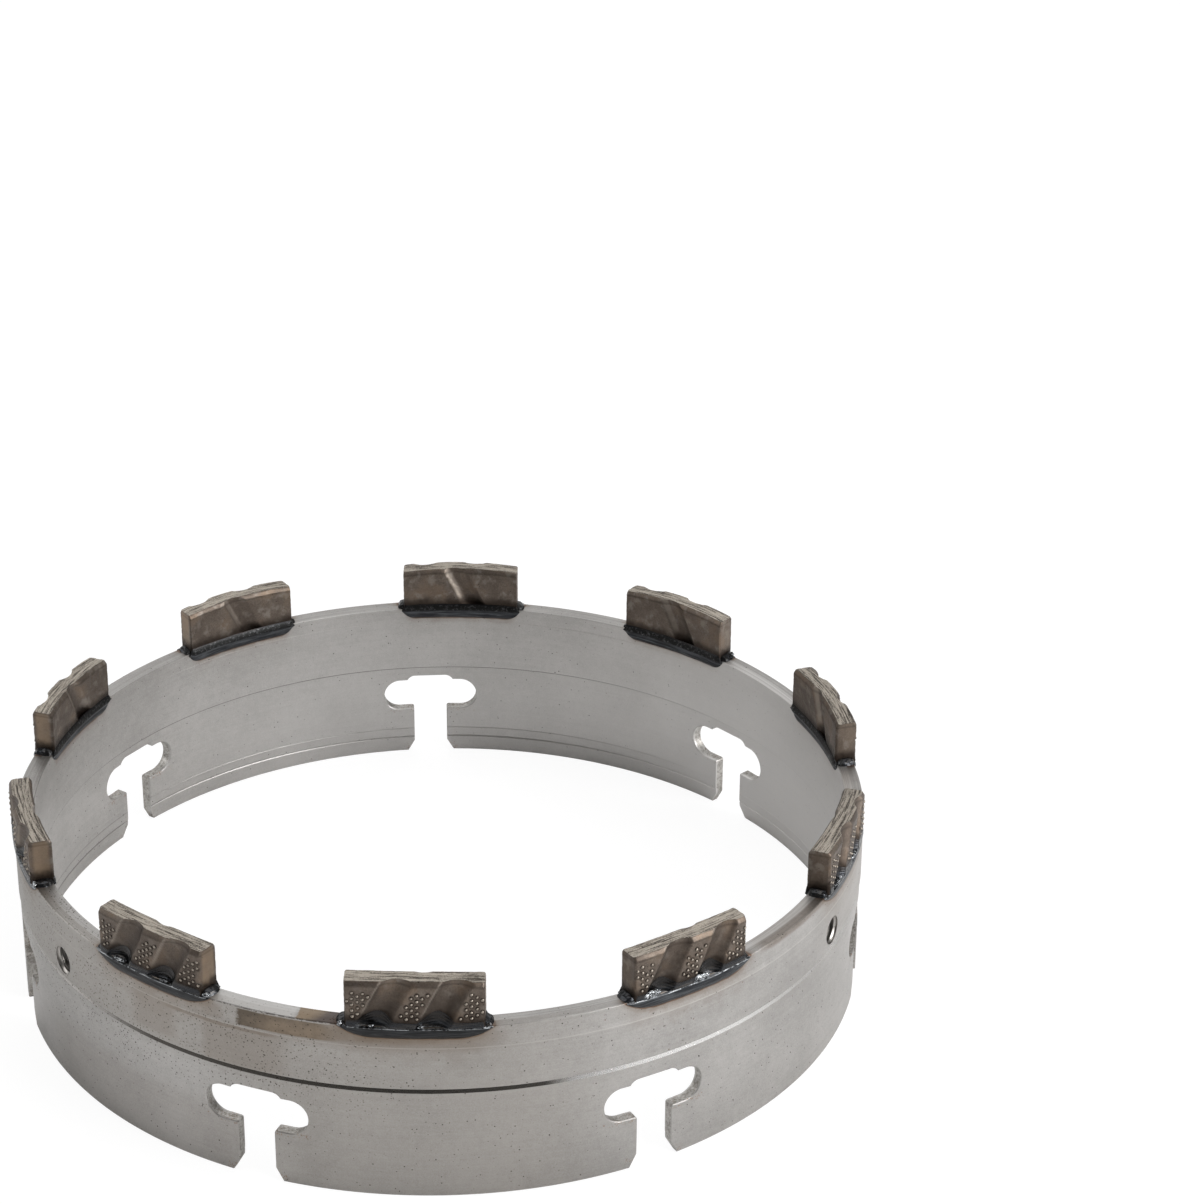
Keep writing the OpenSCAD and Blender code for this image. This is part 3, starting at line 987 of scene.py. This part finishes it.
def block(base, s, index):
    """One segment at angle 0, in millimetres: a finely divided cube pulled into shape."""
    piece = base.copy()
    piece.data = base.data.copy()
    bpy.context.collection.objects.link(piece)
    a, b, c = (points(piece) + 0.5).T
    u = (s.length / MM) * (b - 0.5)
    w = (s.height / MM) * c
    out_r = s.outer / MM - recess(s, u, w, 1)
    in_r = s.inner / MM + recess(s, u, w, -1)
    x = np.sqrt(in_r**2 - u**2) * (1 - a) + np.sqrt(out_r**2 - u**2) * a
    crown = s.crown / MM * (u / (s.length / 2 / MM)) ** 2
    place = np.stack([x, u, RING_HEIGHT / MM + w - crown * c**2], axis=1)
    seed = 10.0 * index
    lumps = rough(place, 2.2, seed) * 0.09 + rough(place, 0.8, seed + 3) * 0.06
    top, outside, inside = c > 0.999, a > 0.999, a < 0.001
    ends = (b < 0.001) | (b > 0.999)
    ridges = rough(np.stack([x, u * 0.07, 0 * u], axis=1), 0.5, seed + 5)
    place[:, 2] -= np.where(top, 0.12 + 0.10 * ridges + 0.6 * np.abs(lumps), 0)
    fade = ease(w, 0, 0.6) * ~top
    sink = np.abs(lumps) * fade
    grains_at = np.array([g[:2] for g in grain_places(s, index)])
    gap = np.min(np.hypot(u[:, None] - grains_at[:, 0], w[:, None] - grains_at[:, 1]), axis=1)
    moat = ease(gap, 0.62, 0.36) * outside
    place[:, 0] -= np.where(outside, sink + 0.10 * moat, 0)
    place[:, 0] += np.where(inside, sink, 0)
    place[:, 1] -= np.where(ends, np.sign(u) * (0.03 + 0.6 * np.abs(lumps)), 0)
    move_points(piece, place)
    # Dirt settles at the foot; painted shade darkens the flutes, the line under the bevel and the face round
    # the grains
    deep = np.where(outside, recess(s, u, w, 1) - s.grain_height / MM, recess(s, u, w, -1))
    foot = ease(w + 5 * lumps, 3.4, 1.2)
    shaded = 0.62 * ease(deep, 0.25, 1.3) * ease(w, s.height / MM, 1.5)
    bevel_shadow = 0.35 * ease(np.abs(w - (s.height - s.bevel_height) / MM + 0.15), 0.35, 0.05)
    # Painted shade darkens the right side of each outer flute; a painted highlight runs along its left edge
    edge = half_flute(s)
    bare_and_highlight = np.zeros_like(u)
    for centre in flute_centres(s, 1):
        q = across_flute(s, u, w, centre)
        painted_shade_side = ease(q, -0.3, 1.7) * ease(q, edge, edge - 0.4)
        shaded = shaded + 0.30 * outside * painted_shade_side * (0.75 + 6 * lumps)
        bare_and_highlight = np.maximum(bare_and_highlight, outside * ease(np.abs(q + edge - 0.15), 0.28, 0.05))
    # A painted highlight along one side of the inner flute
    q = across_flute(s, u, w, s.inner_shift / MM)
    bare_and_highlight = np.maximum(bare_and_highlight, inside * ease(np.abs(q - 1.5), 0.75, 0.25)) * ease(w, 1.5, 4.0)
    dirt_and_painted_shade = np.clip(foot + shaded + bevel_shadow + 0.6 * moat, 0, 1) * ~top
    # The end faces turn brown away from their edges, one end more than the other
    from_edge = np.minimum(np.minimum(a, 1 - a) * (s.outer - s.inner), (1 - c) * s.height) / MM
    end = ease(from_edge, 0.05, 0.9) * ((b > 0.999) + 0.2 * (b < 0.001))
    for name, value in (("dirt_and_painted_shade", dirt_and_painted_shade), ("ground", top * 1.0), ("end", end), ("bare_and_highlight", bare_and_highlight)):
        layer = piece.data.attributes.new(name, "FLOAT", "POINT")
        layer.data.foreach_set("value", value.astype(np.float32))
    return piece


def grains(s, index):
    """Raised grains on the outer face, half sunk in it."""
    deselect()
    bpy.ops.mesh.primitive_ico_sphere_add(subdivisions=2, radius=s.grain / MM)
    first = added("grain")
    co = points(first)
    parts = []
    for u, w, size in grain_places(s, index):
        one = first.copy()
        one.data = first.data.copy()
        bpy.context.collection.objects.link(one)
        r = (s.outer - s.grain) / MM - 0.01
        move_points(one, co * (1, size, size) + (math.sqrt(r * r - u * u), u, RING_HEIGHT / MM + w))
        parts.append(one)
    bpy.data.objects.remove(first)
    return join(parts, "grains")


class OBJECT_OT_segments(bpy.types.Operator):
    """Diamond segments with flutes, ground tops and raised grains"""

    bl_idname = "object.drill_ring_segments"
    bl_label = "Diamond segments"

    def execute(self, context):
        s = context.scene.drill_ring_segments
        colours = context.scene.drill_ring_colours
        metal, worn = sintered_finish(colours), grain_finish()
        deselect()
        bpy.ops.mesh.primitive_cube_add(size=1)
        base = added("divided_block")
        for axis, cuts in ((1, 119), (2, 46), (0, 21)):
            split_along(base, axis, cuts)
        for index, node in enumerate(SEGMENTS):
            body = block(base, s, index)
            smooth(body, 50)
            put_finish(body, metal)
            dots = grains(s, index)
            smooth(dots, 80)
            put_finish(dots, worn)
            piece = join([body, dots], "diamond_" + node)
            move_points(piece, turn(points(piece), s.first + index * 2 * math.pi / len(SEGMENTS)) * MM)
            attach(piece, "root")
            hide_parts(node)
        bpy.data.objects.remove(base)
        return {"FINISHED"}


# The braze


def hang(s, u, half, end_r):
    """How far a seam reaches below the rim: flat in the middle, round towards its tips."""
    drop = s.seam_drop / MM
    sag = drop - TIP_MM
    flat = half - math.sqrt(2 * end_r * sag - sag * sag)
    beyond = np.clip(np.abs(u) - flat, 0, half - flat)
    return drop - end_r + np.sqrt(end_r**2 - beyond**2)


def wander(u, seed):
    """A slow random wave along a seam, about -1 to 1."""
    return np.array([noise.noise(Vector((v * 0.45, seed, 0.5))) for v in u])


def strip(half, rows):
    """A flat grid along a seam: the piece, then for each point the place along and across it."""
    deselect()
    bpy.ops.mesh.primitive_grid_add(x_subdivisions=150, y_subdivisions=rows, size=1)
    piece = added("seam")
    b, t, _ = (points(piece) + 0.5).T
    return piece, 2 * half * (b - 0.5), t


def close_strip(piece, r, u, z, back):
    """Pulls a strip into place and gives it a hidden back and rim."""
    move_points(piece, np.stack([np.sqrt(r**2 - u**2), u, z], axis=1))
    edit_all(piece)
    bpy.ops.mesh.extrude_region_move(TRANSFORM_OT_translate={"value": back})
    bpy.ops.object.mode_set(mode="OBJECT")
    tidy(piece, 1e-5)
    return piece


def outer_seam(s, index):
    """The braze outside: a bead on the wall, a groove at the rim, and a film that climbs
    the foot of the segment and arches up its flutes."""
    half = (s.length / 2 + s.seam_end) / MM
    rim, wall, segment_end = RING_HEIGHT / MM, RIM_MM, s.length / 2 / MM
    piece, u, t = strip(half, 36)
    below = hang(s, u, half, s.seam_round / MM) + 0.08 * wander(u, index)
    held = ease(np.abs(u), segment_end + 0.1, segment_end - 0.5)
    arch = np.zeros_like(u)
    for centre in flute_centres(s, 1):
        q = across_flute(s, u, 2.0, centre) / 3.2
        arch = np.maximum(arch, np.cos(np.clip(q, -1, 1) * math.pi / 2) ** 1.6)
    climb = arch * s.climb / MM * (1 + 0.15 * wander(u, index + 40))
    top = held * (s.bead_rise / MM + 0.14 * wander(u, index + 20) + climb)
    ridge_z = rim - 0.12 + 0.07 * wander(u, index + 60)
    ridge_r = wall + 0.02 + 0.46 * np.clip(below / 1.0, 0, 1) ** 0.6
    # The bead takes the strip's first part, the film its last, and the groove lies between
    bead, film = np.clip(t / 0.42, 0, 1), np.clip((t - 0.5) / 0.5, 0, 1)
    behind = ease(t, 0.42, 0.56)
    z_bead = rim - below + (ridge_z - rim + below) * bead
    belly = np.sin(0.5 * math.pi * np.clip(bead * 1.3, 0, 1)) ** 0.8
    r_bead = wall + 0.02 + (ridge_r - wall - 0.02) * belly
    w = 0.04 + (top - 0.04) * film
    ripples = 0.018 * np.sin(film * 26 + 3 * wander(u, index + 80)) * (film < 0.97)
    skin = 0.02 + 0.10 * (1 - film) ** 1.5 + ripples
    face = s.outer / MM - recess(s, np.clip(u, -11.4, 11.4), w, 1)
    r_film = wall + 0.1 + (face + skin - wall - 0.1) * ease(held, 0.3, 0.7)
    groove = 0.16 * ease(np.abs(t - 0.49), 0.05, 0.0)
    r = r_bead * (1 - behind) + r_film * behind - groove
    z = z_bead * (1 - behind) + (rim + w) * behind
    streaks = rough(np.stack([u * 0.35, z * 2.2, np.full_like(u, index)], axis=1), 0.8, 7.0)
    r = np.minimum(r + 0.035 * streaks * np.sin(math.pi * t) ** 0.5, s.outer / MM - 0.03)
    return close_strip(piece, r, u, z, (-0.5, 0, -0.3))


def inner_bead(s, index):
    """The braze inside: a fat bead from the wall up onto the segment, crinkled above."""
    half = (s.length / 2 + s.bead_end) / MM
    rim, wall, face = RING_HEIGHT / MM, BORE_MM, s.inner / MM
    piece, u, t = strip(half, 28)
    low = -hang(s, u, half, s.bead_round / MM) + 0.07 * wander(u, index + 100)
    top = (s.bead_rise / MM + 0.10 * wander(u, index + 120)) * ease(np.abs(u), half, half - 0.8)
    w = low + (top - low) * t
    r = wall + (face + 0.06 - wall) * ease(w, -1.0, 0.0)
    swell = np.sin(math.pi * t**0.9) ** 0.75 * (0.12 + 0.30 * ease(np.abs(u), half, half - 1.5))
    crinkle = rough(np.stack([u, w * 1.5, np.full_like(u, 3.0 * index)], axis=1), 0.45, 1.0)
    swell += (0.01 + 0.025 * ease(w, -0.3, 0.1)) * crinkle * np.sin(math.pi * t)
    return close_strip(piece, r - swell - 0.015, u, rim + w, (0.5, 0, -0.3))


def puddle(s, index, end):
    """The glassy slab of braze on the rim against one end of a segment."""
    chooser = random.Random(900 + 2 * index + (end > 0))
    reach = s.seam_end / MM + chooser.uniform(-0.1, 0.3)
    rise = 0.95 + chooser.uniform(-0.2, 0.25)
    deselect()
    bpy.ops.mesh.primitive_cube_add(size=2)
    piece = added("puddle")
    edit_all(piece)
    bpy.ops.mesh.subdivide(number_cuts=15)
    bpy.ops.object.mode_set(mode="OBJECT")
    co = points(piece)
    # A cube softened towards a ball has the blunt corners of a cooled drop
    ball = co / np.linalg.norm(co, axis=1)[:, None]
    x, y, z = (0.72 * ball + 0.28 * co).T
    base_u = end * s.length / 2 / MM
    wall_middle = (RIM_MM + BORE_MM) / 2
    middle = wall_middle - base_u**2 / (2 * wall_middle)
    along = np.where(y * end > 0, y * reach * (1 - 0.12 * z), y * 0.7)
    slope = 1 - 0.45 * np.clip(y * end, 0, 1) ** 1.5
    up = np.where(z > 0, z * rise * slope, z * 0.8)
    place = np.stack([middle + x * 1.78, base_u + along, RING_HEIGHT / MM + up], axis=1)
    place += 0.07 * np.sign(place - place.mean(axis=0)) * rough(place, 0.7, index + 20 * end)[:, None]
    move_points(piece, place)
    tidy(piece, 1e-5)
    return piece


# Silvery runs of braze: segment, place along it, half length and half height, in millimetres
DROPS = (
    (0, 0.9, 0.7, 0.35), (0, -7.4, 0.6, 0.3), (0, -12.7, 0.5, 0.5), (1, -8.5, 2.1, 0.8), (1, 1.7, 1.9, 0.75),
    (9, -7.0, 1.5, 0.35), (9, 12.7, 0.8, 0.6), (9, 3.6, 1.0, 0.25), (2, -7.4, 1.6, 0.4), (2, 3.0, 1.5, 0.35),
    (4, -12.5, 0.5, 0.5), (8, 12.6, 0.7, 0.6), (7, -7.5, 0.9, 0.4),
)


def drop(s, index, along, half_length, half_height):
    """A crinkled, silvery run in the corner between rim and segment."""
    deselect()
    bpy.ops.mesh.primitive_ico_sphere_add(subdivisions=4, radius=1)
    piece = added("drop")
    co = points(piece) * (0.5, half_length, half_height)
    crinkle = rough(co, 0.5, index + along) * 0.26 + rough(co, 0.25, along) * 0.06
    co = co * (1 + crinkle)[:, None]
    r = s.outer / MM - 0.62
    place = co + (math.sqrt(r * r - along**2), along, RING_HEIGHT / MM + 0.2 + 0.25 * half_height)
    reach = np.hypot(place[:, 0], place[:, 1])
    place[:, :2] *= np.minimum(1, (s.outer / MM - 0.02) / reach)[:, None]
    move_points(piece, place)
    return piece


class OBJECT_OT_seams(bpy.types.Operator):
    """Braze round the foot of each segment"""

    bl_idname = "object.drill_ring_seams"
    bl_label = "Braze seams"

    def execute(self, context):
        s = context.scene.drill_ring_segments
        colours = context.scene.drill_ring_colours
        dark, silver = braze_finish(colours), flash_finish(colours)
        for index, node in enumerate(SEAMS):
            parts = [outer_seam(s, index), inner_bead(s, index), puddle(s, index, 1), puddle(s, index, -1)]
            for part in parts:
                smooth(part, 60)
                put_finish(part, dark)
            for _, *place in (d for d in DROPS if d[0] == index):
                parts.append(drop(s, index, *place))
                smooth(parts[-1], 80)
                put_finish(parts[-1], silver)
            piece = join(parts, "seam_" + node[-2:])
            move_points(piece, turn(points(piece), s.first + index * 2 * math.pi / len(SEAMS)) * MM)
            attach(piece, "root")
            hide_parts(node)
        return {"FINISHED"}


# Stage


def lamp(name, place, size, power):
    """A rectangular lamp that looks at the middle of the ring."""
    light = bpy.data.lights.new(name, "AREA")
    light.shape = "RECTANGLE"
    light.size, light.size_y = size
    light.energy = power
    holder = bpy.data.objects.new(name, light)
    bpy.context.scene.collection.objects.link(holder)
    holder.location = place
    aim = Vector((0, 0, 0.02)) - Vector(place)
    holder.rotation_euler = aim.to_track_quat("-Z", "Y").to_euler()


class OBJECT_OT_stage(bpy.types.Operator):
    """Floor, backdrop, lamps and camera"""

    bl_idname = "object.drill_ring_stage"
    bl_label = "Stage"

    def execute(self, context):
        look = context.scene.drill_ring_stage
        scene = context.scene
        scene.view_settings.view_transform = "Standard"
        deselect()
        bpy.ops.mesh.primitive_plane_add(size=12)
        floor = added("floor")
        material = bpy.data.materials.new("pale_floor")
        material.use_nodes = True
        material.node_tree.nodes.clear()
        f = Nodes(material.node_tree)
        share = f.add("ShaderNodeLightPath", output="Is Camera Ray") * 0.86
        plain = f.add("ShaderNodeBsdfDiffuse", {}, {"Color": (0.93, 0.93, 0.93)})
        glow = f.add("ShaderNodeEmission", {}, {"Strength": 1.06})
        both = f.add("ShaderNodeMixShader", {}, {0: share, 1: plain, 2: glow})
        f.add("ShaderNodeOutputMaterial", {}, {"Surface": both}, output=None)
        put_finish(floor, material)

        world = bpy.data.worlds.new("studio")
        scene.world = world
        world.use_nodes = True
        world.node_tree.nodes.clear()
        f = Nodes(world.node_tree)
        seen = f.add("ShaderNodeLightPath", output="Is Camera Ray")
        room = f.add("ShaderNodeBackground", {}, {"Strength": 0.16})
        white = f.add("ShaderNodeBackground", {}, {"Strength": 1.0})
        both = f.add("ShaderNodeMixShader", {}, {0: seen, 1: room, 2: white})
        f.add("ShaderNodeOutputWorld", {}, {"Surface": both}, output=None)

        key = look.key
        lamp("overhead", (0.1, 0.15, 1.15), (1.3, 1.0), 7.5 * key)
        lamp("back", (-0.1, 1.15, 0.62), (1.9, 0.7), 4 * key)
        lamp("right_front", (1.0, -0.55, 0.5), (0.8, 0.7), 15 * key)
        lamp("left", (-1.1, 0.1, 0.58), (0.9, 0.8), 4.2 * key)

        distance, elevation = look.distance, look.elevation
        place = Vector((0, -distance * math.cos(elevation), distance * math.sin(elevation)))
        forward = -place.normalized()
        right = Vector((1, 0, 0))
        up = right.cross(forward)
        # Yaw turns about up, pitch about right and roll about forward, each as it lies by then
        axes = [forward, right, up]
        for which, turned in ((2, look.yaw), (1, look.pitch), (0, look.roll)):
            about = Matrix.Rotation(turned, 3, axes[which])
            axes = [about @ axis for axis in axes]
        forward, right, up = axes
        data = bpy.data.cameras.new("camera")
        data.sensor_fit = "HORIZONTAL"
        data.sensor_width = 36
        data.lens = data.sensor_width * look.lens
        data.clip_start, data.clip_end = 0.01, 30
        camera = bpy.data.objects.new("camera", data)
        scene.collection.objects.link(camera)
        camera.matrix_world = Matrix((
            (right.x, up.x, -forward.x, place.x), (right.y, up.y, -forward.y, place.y),
            (right.z, up.z, -forward.z, place.z), (0, 0, 0, 1),
        ))
        scene.camera = camera
        return {"FINISHED"}


# Panel and registration

STEPS = (OBJECT_OT_stage, OBJECT_OT_turned_ring, OBJECT_OT_threads, OBJECT_OT_segments, OBJECT_OT_seams)
GROUPS = {
    "drill_ring_sizes": RingSizes,
    "drill_ring_segments": SegmentSizes,
    "drill_ring_colours": RingColours,
    "drill_ring_stage": StageLook,
}


class VIEW3D_PT_drill_ring(bpy.types.Panel):
    """Lists the ring's sizes, colours and pieces"""

    bl_label = "Drill ring"
    bl_idname = "VIEW3D_PT_drill_ring"
    bl_space_type = "VIEW_3D"
    bl_region_type = "UI"
    bl_category = "Drill ring"

    def draw(self, context):
        for group, kind in GROUPS.items():
            box = self.layout.box()
            for name in kind.__annotations__:
                box.prop(getattr(context.scene, group), name)
        for step in STEPS:
            self.layout.operator(step.bl_idname)


def register():
    for kind in (*GROUPS.values(), *STEPS, VIEW3D_PT_drill_ring):
        bpy.utils.register_class(kind)
    for name, kind in GROUPS.items():
        setattr(bpy.types.Scene, name, bpy.props.PointerProperty(type=kind))


def unregister():
    for name in GROUPS:
        delattr(bpy.types.Scene, name)
    for kind in reversed((*GROUPS.values(), *STEPS, VIEW3D_PT_drill_ring)):
        bpy.utils.unregister_class(kind)


def main():
    register()
    bpy.ops.object.drill_ring_stage()
    bpy.ops.object.drill_ring_body()
    bpy.ops.object.drill_ring_threads()
    bpy.ops.object.drill_ring_segments()
    bpy.ops.object.drill_ring_seams()


if __name__ == "__main__":
    main()
